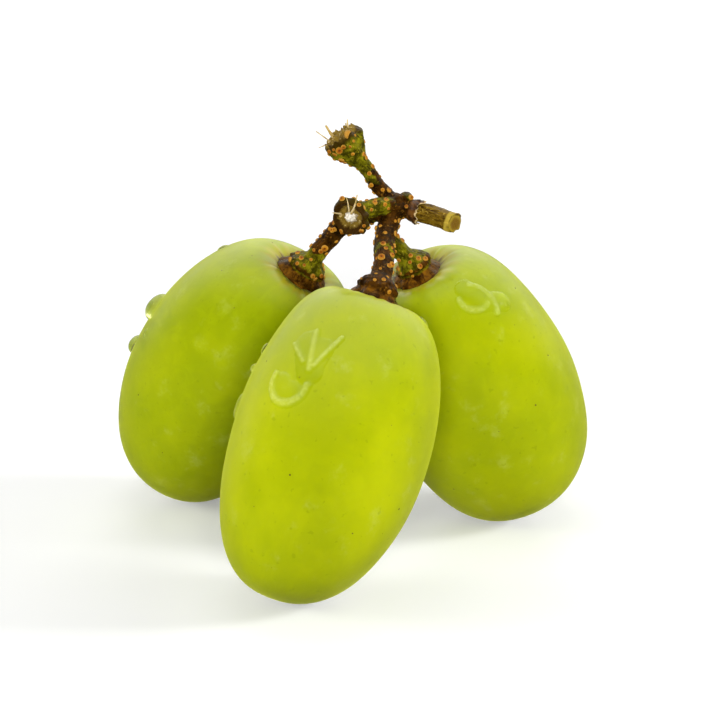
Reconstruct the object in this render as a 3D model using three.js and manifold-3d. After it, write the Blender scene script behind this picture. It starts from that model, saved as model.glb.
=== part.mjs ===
// A bunch of three long seedless grapes on one short, branched, woody stem.
//
// Millimetres, +Z up. The bunch stands as a tripod on the free ends of its three grapes, with the stem
// on top. The origin is on the surface it stands on, under the middle of the bunch's outer box.
// The front of the bunch faces -Y, and the cut end of its stem points to +X.

import * as THREE from 'three';
import { mergeVertices } from 'three/addons/utils/BufferGeometryUtils.js';
import Module from 'manifold-3d';

// ---------------------------------------------------------------------------------------------------
// Driving dimensions
// ---------------------------------------------------------------------------------------------------

// Each grape is a body of revolution. `lean` is its tilt from upright and `heading` the compass
// direction in which its stem end leans, both in degrees. `fullness` sets how blunt the free end and
// the stem end are (0.5 is an ellipsoid, less is blunter), `taper` widens the stem end, and `bow`
// bends the middle of the axis sideways.
const GRAPES = {
  front: {
    centre: [-1.95, -11.7], lean: 30.6, heading: 51.6, halfLength: 14.4, halfWidth: 8.74,
    fullness: [0.43, 0.352], taper: 0, bow: [-0.4, -0.8],
  },
  left: {
    centre: [-10.6, 7.8], lean: 32.9, heading: -20.9, halfLength: 13.6, halfWidth: 8.73,
    fullness: [0.364, 0.351], taper: 0.042, bow: [-0.7, 0.45],
  },
  right: {
    centre: [11.4, 4.2], lean: 25.8, heading: -164, halfLength: 13.35, halfWidth: 8.94,
    fullness: [0.376, 0.29], taper: -0.064, bow: [-0.3, -0.55],
  },
};
const DIMPLE_DEPTH = 1.8; // the hollow round the stem, at its lowest
const DIMPLE_RADIUS = 3; // where that hollow has come up by about two thirds
const SEAT_GAP = 0.3; // between a stalk's foot and the skin under it

// The stem: stalks that fan out from one knuckle. `route` runs outwards from the knuckle, and a stalk
// with a `grape` goes on from its route to the seat on that grape. `foot` is the radius of its far end
// and `flare` the length over which it widens to that.
const KNUCKLE = { place: [4.4, 1.6, 30.9], radius: 1.2, squash: 0.85 };
const SEAT_REACH = 1.5; // how far above its seat a stalk is already square to the grape
const STALKS = [
  {
    grape: 'front', thickness: 1.7, foot: 2.25, flare: 3,
    route: [[3.9, 1.2, 30.5], [3.5, 0.4, 29.6], [3.3, -0.8, 28.9], [3.2, -2.2, 28.2], [3.2, -3.5, 27.6]],
  },
  {
    grape: 'left', thickness: 1.5, foot: 2.25, flare: 2.8,
    route: [[3.6, 1.9, 30.5], [2.3, 2.4, 30.1], [0.9, 3.1, 29.6], [-0.3, 3.9, 28.8], [-1.2, 4.6, 27.7]],
  },
  {
    grape: 'right', thickness: 1.5, foot: 2.2, flare: 2.6,
    route: [[4, 1.8, 30.2], [3.7, 2.2, 29], [3.7, 2.5, 27.7]],
  },
  // two stalks whose grapes were picked: they end in a flared, torn scar
  {
    thickness: 1.5, foot: 1.75, flare: 1.8,
    route: [[3.9, 1.1, 31.3], [2.7, 0.3, 31.5], [1.5, -0.6, 31.6], [0.6, -1.5, 31.6], [0.1, -2.4, 31.5]],
  },
  {
    thickness: 1.3, foot: 1.8, flare: 3.2,
    route: [[3.8, 1.7, 31.6], [3.1, 1.9, 32.4], [2.4, 2.1, 33.2], [1.7, 2.3, 34.3], [0.5, 2.5, 35.7],
      [-0.7, 2.8, 37.2]],
  },
  // the cut end of the shoot that the bunch was taken from
  {
    thickness: 1.65, foot: 0.8, flare: 1,
    route: [[4.9, 1.6, 30.9], [5.9, 1.5, 30.7], [7.4, 1.1, 30.4], [9.7, 0.6, 29.9]],
  },
];
const SCAR_HOLLOW = 0.25; // how deep the torn end of a bare stalk is dished

// mesh fineness
const GRAPE_SIDES = 40;
const GRAPE_ROWS = 13; // from one end of a grape to its middle
const STALK_SIDES = 14;
const STALK_ROWS = 12;
const FOOT_ROWS = 3; // rings across the end face of a stalk

const skinColour = 0xa9b81c;
const barkColour = 0x5c4a18;

// ---------------------------------------------------------------------------------------------------
// Shared shapes
// ---------------------------------------------------------------------------------------------------

// How far the skin dips at the stem end of a grape, at a radius from its axis.
function dimple(radius) {
  return DIMPLE_DEPTH * Math.exp(-((radius / DIMPLE_RADIUS) ** 2));
}

// Applies a change to every vertex of a geometry.
function reshape(geometry, change) {
  const places = geometry.attributes.position;
  const point = new THREE.Vector3();
  for (let i = 0; i < places.count; i += 1) {
    point.fromBufferAttribute(places, i);
    change(point);
    places.setXYZ(i, point.x, point.y, point.z);
  }
  return geometry;
}

// Leaves only positions, with the vertices that meet at seams and poles merged.
function closed(geometry) {
  geometry.deleteAttribute('normal');
  geometry.deleteAttribute('uv');
  return mergeVertices(geometry, 1e-4);
}

// ---------------------------------------------------------------------------------------------------
// Grapes
// ---------------------------------------------------------------------------------------------------

// The half outline of a grape, from its free end up to its stem end. Rings are spaced evenly in radius
// near both ends, so the blunt ends and the dimple are as finely cut as the sides.
function grapeOutline({ halfLength, halfWidth, fullness, taper }) {
  const outline = [];
  for (let row = 0; row <= 2 * GRAPE_ROWS; row += 1) {
    const fromEnd = Math.min(row, 2 * GRAPE_ROWS - row) / GRAPE_ROWS;
    const power = fullness[row < GRAPE_ROWS ? 0 : 1];
    const turn = (Math.PI / 2) * fromEnd ** (0.5 / power);
    const along = (row < GRAPE_ROWS ? -1 : 1) * Math.cos(turn);
    const radius = halfWidth * Math.sin(turn) ** (2 * power) * (1 + taper * along);
    const dip = row > GRAPE_ROWS ? dimple(radius) : 0;
    outline.push(new THREE.Vector2(radius, halfLength * along - dip));
  }
  return outline;
}

function makeGrape(name, grape) {
  const geometry = new THREE.LatheGeometry(grapeOutline(grape), GRAPE_SIDES);
  geometry.rotateX(Math.PI / 2);
  reshape(geometry, (point) => {
    const bend = Math.max(0, 1 - (point.z / grape.halfLength) ** 2);
    point.x += grape.bow[0] * bend;
    point.y += grape.bow[1] * bend;
  });
  const material = new THREE.MeshStandardMaterial({ color: skinColour, roughness: 0.35, metalness: 0 });
  const mesh = new THREE.Mesh(closed(geometry), material);
  mesh.name = name;
  mesh.rotation.set(0, THREE.MathUtils.degToRad(grape.lean), THREE.MathUtils.degToRad(grape.heading), 'ZYX');
  mesh.position.set(grape.centre[0], grape.centre[1], 0);
  mesh.position.z = -new THREE.Box3().setFromObject(mesh, true).min.z; // let down onto the surface
  mesh.updateMatrixWorld();
  return mesh;
}

// ---------------------------------------------------------------------------------------------------
// Stem
// ---------------------------------------------------------------------------------------------------

// A point on a grape's axis, `above` the rim of the foot that sits in its dimple.
function overSeat(grapeMesh, grape, foot, above) {
  const height = grape.halfLength - dimple(foot) + SEAT_GAP + above;
  return grapeMesh.localToWorld(new THREE.Vector3(0, 0, height));
}

// A stalk turned as a straight round profile and then carried onto its route. Its foot flares, and the
// end face follows the dimple that it sits in, or is dished where the grape was picked.
function makeStalk(stalk, grapeMeshes) {
  const points = stalk.route.map((place) => new THREE.Vector3(...place));
  if (stalk.grape) {
    for (const above of [SEAT_REACH, 0]) {
      points.push(overSeat(grapeMeshes[stalk.grape], GRAPES[stalk.grape], stalk.foot, above));
    }
  }
  const curve = new THREE.CatmullRomCurve3(points);
  const length = curve.getLength();

  const profile = [new THREE.Vector2(0, 0)];
  for (let row = 0; row <= STALK_ROWS; row += 1) {
    const along = (length * row) / STALK_ROWS;
    const spread = THREE.MathUtils.smoothstep(along, length - stalk.flare, length);
    profile.push(new THREE.Vector2(THREE.MathUtils.lerp(stalk.thickness / 2, stalk.foot, spread), along));
  }
  for (let ring = FOOT_ROWS - 1; ring >= 0; ring -= 1) {
    const share = ring / FOOT_ROWS;
    const radius = stalk.foot * share;
    const rise = stalk.grape ? dimple(radius) - dimple(stalk.foot) : -SCAR_HOLLOW * (1 - share ** 2);
    profile.push(new THREE.Vector2(radius, length + rise));
  }

  const frames = curve.computeFrenetFrames(STALK_ROWS, false);
  const geometry = new THREE.LatheGeometry(profile, STALK_SIDES);
  return reshape(geometry, (point) => {
    const share = Math.min(point.y / length, 1);
    const row = Math.round(share * STALK_ROWS);
    const beyond = point.y - share * length;
    const centre = curve.getPointAt(share);
    const across = frames.normals[row].clone().multiplyScalar(point.x);
    const over = frames.binormals[row].clone().multiplyScalar(-point.z);
    point.copy(centre).add(across).add(over).addScaledVector(frames.tangents[row], beyond);
  });
}

function makeKnuckle() {
  const geometry = new THREE.SphereGeometry(KNUCKLE.radius, STALK_SIDES, STALK_SIDES / 2);
  geometry.scale(1, 1, KNUCKLE.squash);
  geometry.translate(...KNUCKLE.place);
  return geometry;
}

const wasm = await Module();
wasm.setup();

function toSolid(geometry) {
  const clean = closed(geometry);
  return new wasm.Manifold(new wasm.Mesh({
    numProp: 3,
    vertProperties: new Float32Array(clean.attributes.position.array),
    triVerts: new Uint32Array(clean.index.array),
  }));
}

function makeStem(grapeMeshes) {
  let solid = toSolid(makeKnuckle());
  for (const stalk of STALKS) {
    solid = solid.add(toSolid(makeStalk(stalk, grapeMeshes)));
  }
  const joined = solid.getMesh();
  const geometry = new THREE.BufferGeometry();
  geometry.setAttribute('position', new THREE.BufferAttribute(new Float32Array(joined.vertProperties), 3));
  geometry.setIndex(new THREE.BufferAttribute(new Uint32Array(joined.triVerts), 1));
  const material = new THREE.MeshStandardMaterial({ color: barkColour, roughness: 0.7, metalness: 0 });
  const mesh = new THREE.Mesh(geometry, material);
  mesh.name = 'stem';
  return mesh;
}

// ---------------------------------------------------------------------------------------------------
// The bunch
// ---------------------------------------------------------------------------------------------------

const grapeMeshes = {};
for (const [side, grape] of Object.entries(GRAPES)) {
  grapeMeshes[side] = makeGrape(`grape_${side}`, grape);
}

const bunch = new THREE.Group();
bunch.add(...Object.values(grapeMeshes), makeStem(grapeMeshes));

// The origin goes under the middle of the outer box.
const middle = new THREE.Box3().setFromObject(bunch, true).getCenter(new THREE.Vector3());
bunch.position.set(-middle.x, -middle.y, 0);

export default bunch;
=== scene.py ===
# %% [markdown]
# # A small bunch of grapes
#
# Three long green seedless grapes hang together on one short branched stem. The bunch stands on the free
# ends of its grapes like a milking stool, with the stem on top. Two bare stalks show where grapes were
# picked, and the bunch is still wet from rinsing.
#
# The solid model that gives every size is loaded first and stays where it is. Each finished piece below
# takes the place of one of its solids, so the pieces are made at the same places and sizes.

# %% Load the solid model
import math

import bpy
import numpy as np
from mathutils import Matrix, Vector, noise
from mathutils.bvhtree import BVHTree


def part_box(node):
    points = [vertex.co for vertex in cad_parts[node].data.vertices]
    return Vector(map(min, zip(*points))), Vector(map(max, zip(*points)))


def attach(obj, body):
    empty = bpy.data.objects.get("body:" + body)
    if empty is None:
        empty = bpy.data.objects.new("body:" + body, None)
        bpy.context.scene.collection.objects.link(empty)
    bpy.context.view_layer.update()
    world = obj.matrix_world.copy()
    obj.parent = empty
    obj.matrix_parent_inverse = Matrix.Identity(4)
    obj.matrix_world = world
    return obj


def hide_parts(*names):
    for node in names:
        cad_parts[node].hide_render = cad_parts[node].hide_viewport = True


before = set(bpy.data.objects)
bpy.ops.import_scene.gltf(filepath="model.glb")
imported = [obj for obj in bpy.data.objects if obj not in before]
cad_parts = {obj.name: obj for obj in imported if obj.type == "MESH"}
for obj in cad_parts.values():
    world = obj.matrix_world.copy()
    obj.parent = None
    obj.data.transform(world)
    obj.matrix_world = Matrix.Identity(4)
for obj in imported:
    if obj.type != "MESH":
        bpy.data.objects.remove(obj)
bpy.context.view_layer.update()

MM = 0.001  # shapes below are worked out in millimetres and turned into metres when a mesh is made
BODY = "root"
print("solids: grape_front, grape_left, grape_right, stem")

# %% [markdown]
# ## Small helpers
#
# Every piece ends up as a plain mesh whose object sits at the origin, so one helper makes such an object
# from points and faces, and another stores a value for each point that the materials read later.


# %% Making a mesh
def make_piece(name, points, faces, smooth=True):
    """A mesh object at the origin from points in millimetres."""
    mesh = bpy.data.meshes.new(name)
    mesh.from_pydata([tuple(float(c) * MM for c in p) for p in points], [], faces)
    mesh.polygons.foreach_set("use_smooth", [smooth] * len(mesh.polygons))
    mesh.update()
    piece = bpy.data.objects.new(name, mesh)
    bpy.context.scene.collection.objects.link(piece)
    return piece


def store(piece, name, values, kind="FLOAT"):
    """One value for each point: a number, or three numbers when kind is FLOAT_VECTOR."""
    layer = piece.data.attributes.new(name, kind, "POINT")
    key = "vector" if kind == "FLOAT_VECTOR" else "value"
    layer.data.foreach_set(key, np.asarray(values, dtype=np.float32).ravel())


def finish_piece(piece, slot, material, *replaced):
    """Gives a piece its material and its body, and hides the solids it replaces; the slot it is given is not
    used.
    """
    piece.data.materials.clear()
    piece.data.materials.append(material)
    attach(piece, BODY)
    if replaced:
        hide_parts(*replaced)


def smoothstep(low, high, value):
    share = np.clip((np.asarray(value, dtype=float) - low) / (high - low), 0.0, 1.0)
    return share * share * (3.0 - 2.0 * share)


def ring_faces(rings, sides):
    """Faces of a closed tube of rings between two end points, which are the first and the last point."""
    last = 1 + rings * sides
    faces = []
    for side in range(sides):
        after = (side + 1) % sides
        faces.append((0, 1 + after, 1 + side))
        faces.append((last, last - sides + side, last - sides + after))
        for ring in range(rings - 1):
            low = 1 + ring * sides
            faces.append((low + side, low + after, low + sides + after, low + sides + side))
    return faces


# %% [markdown]
# ## Camera
#
# A long lens looks down on the bunch by twenty degrees. It is set up first because the direction towards
# it is called the front below: marks are placed so far along a stalk or a grape, and so many degrees
# round it from the front.

# %% Camera
LOOK_DOWN = math.radians(20)
CAMERA_AWAY = 0.4  # metres from the point it looks at
aim = Vector((0.000206, 0.001673, 0.01786))
TO_VIEWER = Vector((0, -math.cos(LOOK_DOWN), math.sin(LOOK_DOWN)))
VIEW_RIGHT = Vector((1, 0, 0))
camera_data = bpy.data.cameras.new("camera")
camera_data.lens = 226
camera_data.clip_start = 0.01
camera = bpy.data.objects.new("camera", camera_data)
camera.location = aim + TO_VIEWER * CAMERA_AWAY
camera.rotation_euler = (math.pi / 2 - LOOK_DOWN, 0, 0)
bpy.context.scene.collection.objects.link(camera)
bpy.context.scene.camera = camera
bpy.context.scene.view_settings.view_transform = "Standard"


# %% [markdown]
# ## The grapes
#
# A long grape is nearly a turned shape: blunt at both ends, a little bowed, and dimpled where the stalk
# enters. It could be a stretched sphere, but a sphere's ends are too pointed. The outline here is the
# formula radius = half width x (1 - s squared) to a power below one half, which gives the full, blunt
# ends, and the skin is then pushed in and out by a fraction of a millimetre so that no reflection is
# perfectly regular.

# %% Sizes of the grapes
# The number that ends each grape's row sets how light its skin is painted, from 0 to 1: painted shade,
# darkest on the left grape and lightest on the front one.
GRAPES = {
    "front": {
        "lean": 30.6, "heading": 51.6, "half_length": 14.4, "half_width": 8.74,
        "fullness": (0.43, 0.352), "taper": 0.0, "bow": (-0.4, -0.8), "painted_lightness": 1.0,
    },
    "left": {
        "lean": 32.9, "heading": -20.9, "half_length": 13.6, "half_width": 8.73,
        "fullness": (0.364, 0.351), "taper": 0.042, "bow": (-0.7, 0.45), "painted_lightness": 0.0,
    },
    "right": {
        "lean": 25.8, "heading": -164.0, "half_length": 13.35, "half_width": 8.94,
        "fullness": (0.376, 0.29), "taper": -0.064, "bow": (-0.3, -0.55), "painted_lightness": 0.55,
    },
}
DIMPLE_DEPTH = 1.8
DIMPLE_RADIUS = 3.0
SEAT_GAP = 0.3
SKIN_ROWS = 64  # from one end to the middle
SKIN_SIDES = 168


def dimple(radius):
    return DIMPLE_DEPTH * np.exp(-((radius / DIMPLE_RADIUS) ** 2))


# %% The skin of a grape
def skin_outline(grape, row):
    """Place along the axis (-1 to 1) and radius of a ring of the skin."""
    stem_half = row > SKIN_ROWS
    power = grape["fullness"][1 if stem_half else 0]
    from_end = min(row, 2 * SKIN_ROWS - row) / SKIN_ROWS
    turn = math.pi / 2 * from_end ** (0.5 / power)
    along = math.cos(turn) * (1 if stem_half else -1)
    radius = grape["half_width"] * math.sin(turn) ** (2 * power) * (1 + grape["taper"] * along)
    return along, radius


def skin_points(grape, seed):
    """Points of the skin in the grape's own frame, with their place along the axis and their radius."""
    around = np.arange(SKIN_SIDES) * 2 * math.pi / SKIN_SIDES
    points, alongs, radii, turns = [], [], [], []
    for row in range(2 * SKIN_ROWS + 1):
        along, radius = skin_outline(grape, row)
        pole = row in (0, 2 * SKIN_ROWS)
        dip = dimple(radius) if along > 0 else 0.0
        bend = 1 - along * along
        for angle in (around[:1] if pole else around):
            points.append((
                radius * math.cos(angle) + grape["bow"][0] * bend,
                radius * math.sin(angle) + grape["bow"][1] * bend,
                grape["half_length"] * along - dip,
            ))
            alongs.append(along)
            radii.append(radius)
            turns.append(angle)
    return np.array(points), np.array(alongs), np.array(radii), np.array(turns)


def placing(grape):
    """The turn that tilts a grape from upright to where it leans."""
    return (Matrix.Rotation(math.radians(grape["heading"]), 3, "Z")
            @ Matrix.Rotation(math.radians(grape["lean"]), 3, "Y"))


LUMP_SIZE = 6.0  # mm between the soft lumps of the skin
LUMP_HEIGHT = 0.11
PUCKER_COUNT = 17  # small pleats of skin round the dimple
PUCKER_HEIGHT = 0.07


def make_grape(side, grape, seed):
    points, along, radius, turn = skin_points(grape, seed)
    low, high = (np.array(corner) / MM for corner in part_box(f"grape_{side}"))
    turned = points @ np.array(placing(grape)).T
    centre = (low + high) / 2 - (turned.min(axis=0) + turned.max(axis=0)) / 2

    # soft lumps all over, and pleats that run out of the dimple
    outward = points - np.array([0, 0, 0.6]) * points[:, 2:3]
    outward /= np.linalg.norm(outward, axis=1)[:, None] + 1e-9
    lumps = np.array([noise.noise(Vector(p) / LUMP_SIZE + Vector((seed, 0, 0))) for p in points])
    wander = np.array([noise.noise(Vector((math.cos(t) * 2, math.sin(t) * 2, seed))) for t in turn])
    pleats = np.cos(PUCKER_COUNT * turn + 5 * wander) * np.exp(-(((radius - 3.2) / 1.0) ** 2))
    pleats *= (along > 0) * (0.5 + wander)
    shift = LUMP_HEIGHT * lumps * smoothstep(0, 3.5, radius) + PUCKER_HEIGHT * pleats
    points = points + outward * shift[:, None]

    placed = points @ np.array(placing(grape)).T + centre
    placed[:, 2] += max(0.0, -placed[:, 2].min())
    faces = ring_faces(2 * SKIN_ROWS - 1, SKIN_SIDES)
    piece = make_piece(f"grape_skin_{side}", placed, faces)
    store(piece, "stem_radius", np.where(along > 0, radius, 99.0))
    store(piece, "tip_radius", np.where(along < 0, radius, 99.0))
    ends = 0.65 * smoothstep(0.2, 0.85, along) + 0.35 * smoothstep(-0.1, -0.8, along)  # both ends are painted darker: painted shade
    store(piece, "painted_lightness", grape["painted_lightness"] * (1 - ends))
    store(piece, "skin_way", np.stack([np.cos(turn), np.sin(turn), along * 1.6], axis=1), "FLOAT_VECTOR")
    grape["centre"] = Vector(centre)
    grape["turn"] = placing(grape)
    grape["tree"] = BVHTree.FromPolygons([Vector(p) for p in placed], faces)
    return piece


grape_pieces = {side: make_grape(side, grape, seed) for seed, (side, grape) in enumerate(GRAPES.items(), 3)}
for side, piece in grape_pieces.items():
    middle = [round(c, 2) for c in GRAPES[side]["centre"]]
    print(side, "grape:", len(piece.data.polygons), "faces, centre", middle)

# the solid model's own origin is shifted from the numbers below, by as much as the front grape's centre is
STEM_SHIFT = Vector((GRAPES["front"]["centre"].x + 1.95, GRAPES["front"]["centre"].y + 11.7, 0))
print("shift of the stem's numbers:", [round(c, 3) for c in STEM_SHIFT])

# %% [markdown]
# ## Grape skin material
#
# Grape skin is thin and clear over green flesh, so light goes in, wanders and comes out yellow-green.
# Subsurface scattering does that, and the base colour is already the colour that comes out. The skin
# itself has a waxy bloom, which makes the reflections broad and soft.


# %% Node helpers
def new_material(name):
    material = bpy.data.materials.new(name)
    material.use_nodes = True
    tree = material.node_tree
    return material, tree, tree.nodes["Principled BSDF"]


def plug(tree, socket, value):
    """Links an input to another socket, or sets it to a plain number or colour."""
    if isinstance(value, bpy.types.NodeSocket):
        tree.links.new(value, socket)
    else:
        socket.default_value = (*value, 1) if socket.type == "RGBA" and len(value) == 3 else value


def add(tree, kind, inputs=None, **settings):
    """A node with its settings, and its inputs by name or number."""
    node = tree.nodes.new(kind)
    for key, value in settings.items():
        setattr(node, key, value)
    for key, value in (inputs or {}).items():
        plug(tree, node.inputs[key], value)
    return node


def attribute(tree, name, output="Fac"):
    return add(tree, "ShaderNodeAttribute", attribute_name=name).outputs[output]


def object_place(tree):
    return add(tree, "ShaderNodeTexCoord").outputs["Object"]


def noise_at(tree, vector, scale, detail=3.0, roughness=0.55, distortion=0.0):
    return add(tree, "ShaderNodeTexNoise", {
        "Vector": vector, "Scale": scale, "Detail": detail, "Roughness": roughness,
        "Distortion": distortion}).outputs["Fac"]


def remap(tree, value, low, high, to_low=0.0, to_high=1.0):
    return add(tree, "ShaderNodeMapRange", {
        "Value": value, "From Min": low, "From Max": high, "To Min": to_low, "To Max": to_high},
        interpolation_type="SMOOTHSTEP").outputs["Result"]


def blend_colour(tree, share, first, second):
    return add(tree, "ShaderNodeMix", {0: share, 6: first, 7: second}, data_type="RGBA").outputs[2]


def maths(tree, operation, first, second=0.0):
    return add(tree, "ShaderNodeMath", {0: first, 1: second}, operation=operation).outputs[0]


def finish_shader(tree, shader, colour, roughness, height=None, strength=0.4, distance=0.00005, **plain):
    """Feeds the colour, roughness and bumps that change over the surface, and sets the plain values."""
    plug(tree, shader.inputs["Base Color"], colour)
    plug(tree, shader.inputs["Roughness"], roughness)
    if height is not None:
        bump = add(tree, "ShaderNodeBump", {"Height": height, "Strength": strength, "Distance": distance})
        plug(tree, shader.inputs["Normal"], bump.outputs["Normal"])
    for key, value in plain.items():
        plug(tree, shader.inputs[key.replace("_", " ")], value)


# %% [markdown]
# Two effects come back in nearly every finish on this bunch, so each is a shader node group with named
# sockets, built once. Plant tissue is never one tone: stained tissue blends two tones by noise and also
# gives the noise, for bumps. And no patch on it has a clean edge: a broken edge is a mask that begins
# where a value passes a limit, with the limit moved about by noise.


# %% Shader groups
def start_group(name, inputs, outputs):
    """A shader node group with its named sockets: the group, what it is given and what it puts out."""
    group = bpy.data.node_groups.new(name, "ShaderNodeTree")
    for way, sockets in (("INPUT", inputs), ("OUTPUT", outputs)):
        for label, kind in sockets.items():
            group.interface.new_socket(name=label, in_out=way, socket_type="NodeSocket" + kind)
    return group, group.nodes.new("NodeGroupInput").outputs, group.nodes.new("NodeGroupOutput").inputs


stained_tissue, given, wanted = start_group("stained_tissue", {
    "Place": "Vector", "Spots": "Float", "Detail": "Float", "Raggedness": "Float", "Dark until": "Float",
    "Light from": "Float", "Dark tone": "Color", "Light tone": "Color"},
    {"Colour": "Color", "Stain": "Float"})
stain_noise = noise_at(stained_tissue, given["Place"], given["Spots"], given["Detail"], given["Raggedness"])
stain_share = remap(stained_tissue, stain_noise, given["Dark until"], given["Light from"])
plug(stained_tissue, wanted["Colour"],
     blend_colour(stained_tissue, stain_share, given["Dark tone"], given["Light tone"]))
plug(stained_tissue, wanted["Stain"], stain_noise)

broken_edge, given, wanted = start_group(
    "broken_edge", {"Value": "Float", "Noise": "Float", "Wander": "Float", "From": "Float", "To": "Float"},
    {"Mask": "Float"})
unevenness = maths(broken_edge, "SUBTRACT", given["Noise"], 0.5)
edge_shift = maths(broken_edge, "MULTIPLY", unevenness, given["Wander"])
plug(broken_edge, wanted["Mask"],
     remap(broken_edge, maths(broken_edge, "ADD", given["Value"], edge_shift), given["From"], given["To"]))


def stained(tree, place, spots, dark, light, until=0.40, start=0.64, detail=4.0, ragged=0.6):
    """The colour and the noise of stained tissue."""
    outputs = add(tree, "ShaderNodeGroup", {
        "Place": place, "Spots": spots, "Detail": detail, "Raggedness": ragged, "Dark until": until,
        "Light from": start, "Dark tone": dark, "Light tone": light}, node_tree=stained_tissue).outputs
    return outputs["Colour"], outputs["Stain"]


def broken(tree, value, noise_value, wander, low, high):
    """A mask from 0 at low to 1 at high, its edge moved by noise."""
    return add(tree, "ShaderNodeGroup", {
        "Value": value, "Noise": noise_value, "Wander": wander, "From": low, "To": high},
        node_tree=broken_edge).outputs["Mask"]


print("shader groups:", [group.name for group in (stained_tissue, broken_edge)])


# %% Grape skin
def grape_skin_material():
    material, tree, shader = new_material("grape_skin")
    place = object_place(tree)
    way = attribute(tree, "skin_way", "Vector")
    painted_lightness = attribute(tree, "painted_lightness")

    # Both tones of the skin are lighter where the stored lightness is high: painted shade, set per grape and
    # darker towards both ends.
    dull = blend_colour(tree, painted_lightness, (0.265, 0.325, 0.0), (0.345, 0.395, 0.0))
    bright = blend_colour(tree, painted_lightness, (0.32, 0.37, 0.0), (0.415, 0.455, 0.0))
    colour, _ = stained(tree, place, 130, dull, bright, 0.35, 0.68, 3, 0.55)
    veins = remap(tree, noise_at(tree, way, 5.5, 5, 0.6, 0.8), 0.42, 0.66)
    colour = blend_colour(tree, maths(tree, "MULTIPLY", veins, 0.12), colour, (0.48, 0.54, 0.0))

    dust = remap(tree, noise_at(tree, place, 420, 6, 0.65), 0.56, 0.74)
    colour = blend_colour(tree, maths(tree, "MULTIPLY", dust, 0.28), colour, (0.50, 0.54, 0.13))
    dots = remap(tree, noise_at(tree, place, 1900, 2, 0.4), 0.33, 0.26)
    colour = blend_colour(tree, maths(tree, "MULTIPLY", dots, 0.35), colour, (0.20, 0.26, 0.0))

    rays_out = noise_at(tree, way, 6, 5, 0.7)
    from_stem = attribute(tree, "stem_radius")
    yellowed = broken(tree, from_stem, rays_out, -5.0, 4.6, 2.5)
    colour = blend_colour(tree, maths(tree, "MULTIPLY", yellowed, 0.6), colour, (0.42, 0.30, 0.006))
    browned = broken(tree, from_stem, rays_out, -3.0, 2.9, 2.1)
    colour = blend_colour(tree, browned, colour, (0.10, 0.040, 0.002))

    bloom = remap(tree, noise_at(tree, place, 260, 4), 0.3, 0.7, 0.30, 0.42)
    finish_shader(tree, shader, colour, bloom, noise_at(tree, place, 2600, 3), 0.05, 0.0001, **{
        "Subsurface Weight": 0.9, "Subsurface Radius": (0.9, 1.0, 0.1), "Subsurface Scale": 0.006,
        "IOR": 1.46, "Sheen Weight": 0.3, "Sheen Roughness": 0.4, "Sheen Tint": (0.88, 0.95, 0.12),
        "Specular Tint": (1.0, 1.0, 0.8)})
    return material


skin = grape_skin_material()
for side, piece in grape_pieces.items():
    finish_piece(piece, "grape_skin", skin, f"grape_{side}")

# %% [markdown]
# ## The stem
#
# A grape stem is a small woody branch. Each stalk leaves the knuckle about as thick as a match stick,
# wrinkles lengthwise as it dries, and swells into a corky foot where it holds a grape. It could be
# sculpted by hand, but its shape follows a rule: a round section that is carried along a route and
# widens at the end. So each stalk is lofted on its route, the lofts are melted into one body by a voxel
# remesh, as the real branch has no seams, and noise then gives the wrinkles.

# %% Routes of the stalks
KNUCKLE = Vector((4.4, 1.6, 30.9))
KNUCKLE_RADIUS = 1.15
SEAT_REACH = 1.5
STALKS = {
    "front": {
        "grape": "front", "thickness": 1.78, "foot": 1.9, "flare": 2.5,
        "route": [(3.9, 1.2, 30.5), (3.5, 0.4, 29.6), (3.3, -0.8, 28.9), (3.2, -2.2, 28.2),
                  (3.2, -3.5, 27.6)],
        "dark": [(0.0, 4.2), (5.4, 12.0)],
    },
    "left": {
        "grape": "left", "thickness": 1.62, "foot": 1.85, "flare": 2.5,
        "route": [(3.6, 1.9, 30.5), (2.3, 2.4, 30.1), (0.9, 3.1, 29.6), (-0.3, 3.9, 28.8),
                  (-1.1, 4.6, 27.7)],
        "dark": [(1.5, 8.3)],
    },
    "right": {
        "grape": "right", "thickness": 1.6, "foot": 1.68, "flare": 2.7,
        "route": [(4.0, 1.8, 30.2), (3.7, 2.2, 29.0), (3.7, 2.5, 27.7)],
        "dark": [(0.0, 1.0)],
    },
    "side": {
        "thickness": 1.5, "foot": 1.8, "flare": 1.6,
        "route": [(3.9, 1.1, 31.3), (2.7, 0.3, 31.45), (1.5, -0.6, 31.45), (0.6, -1.5, 31.4),
                  (0.1, -2.4, 31.25)],
        "dark": [(0.0, 0.3)],
    },
    "upper": {
        "thickness": 1.3, "foot": 1.85, "flare": 3.2,
        "route": [(3.8, 1.7, 31.6), (3.1, 1.9, 32.4), (2.4, 2.1, 33.2), (1.7, 2.3, 34.3),
                  (0.5, 2.5, 35.7), (-0.6, 2.8, 37.1)],
        "dark": [(0.0, 2.3)],
    },
    "shoot": {
        "thickness": 1.68, "foot": 0.86, "flare": 1.0,
        "route": [(4.9, 1.6, 30.9), (5.9, 1.4, 30.7), (7.4, 0.8, 30.5), (9.55, -0.1, 30.0)],
        "dark": [(0.0, 1.0)], "slant": 0.45,
    },
}
RAIL_STEP = 0.1  # mm between rings


def catmull(points, step):
    """Evenly spaced points on a smooth curve through the given ones."""
    points = [2 * points[0] - points[1], *points, 2 * points[-1] - points[-2]]
    fine = []
    for a, b, c, d in zip(points, points[1:], points[2:], points[3:]):
        for t in np.linspace(0, 1, 24, endpoint=False):
            fine.append(0.5 * (2 * b + (c - a) * t + (2 * a - 5 * b + 4 * c - d) * t * t
                               + (3 * b - a - 3 * c + d) * t ** 3))
    fine = np.array([*fine, points[-2]])
    reach = np.concatenate([[0], np.cumsum(np.linalg.norm(np.diff(fine, axis=0), axis=1))])
    even = np.linspace(0, reach[-1], max(2, round(reach[-1] / step)) + 1)
    return np.stack([np.interp(even, reach, fine[:, axis]) for axis in range(3)], axis=1), even


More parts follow.
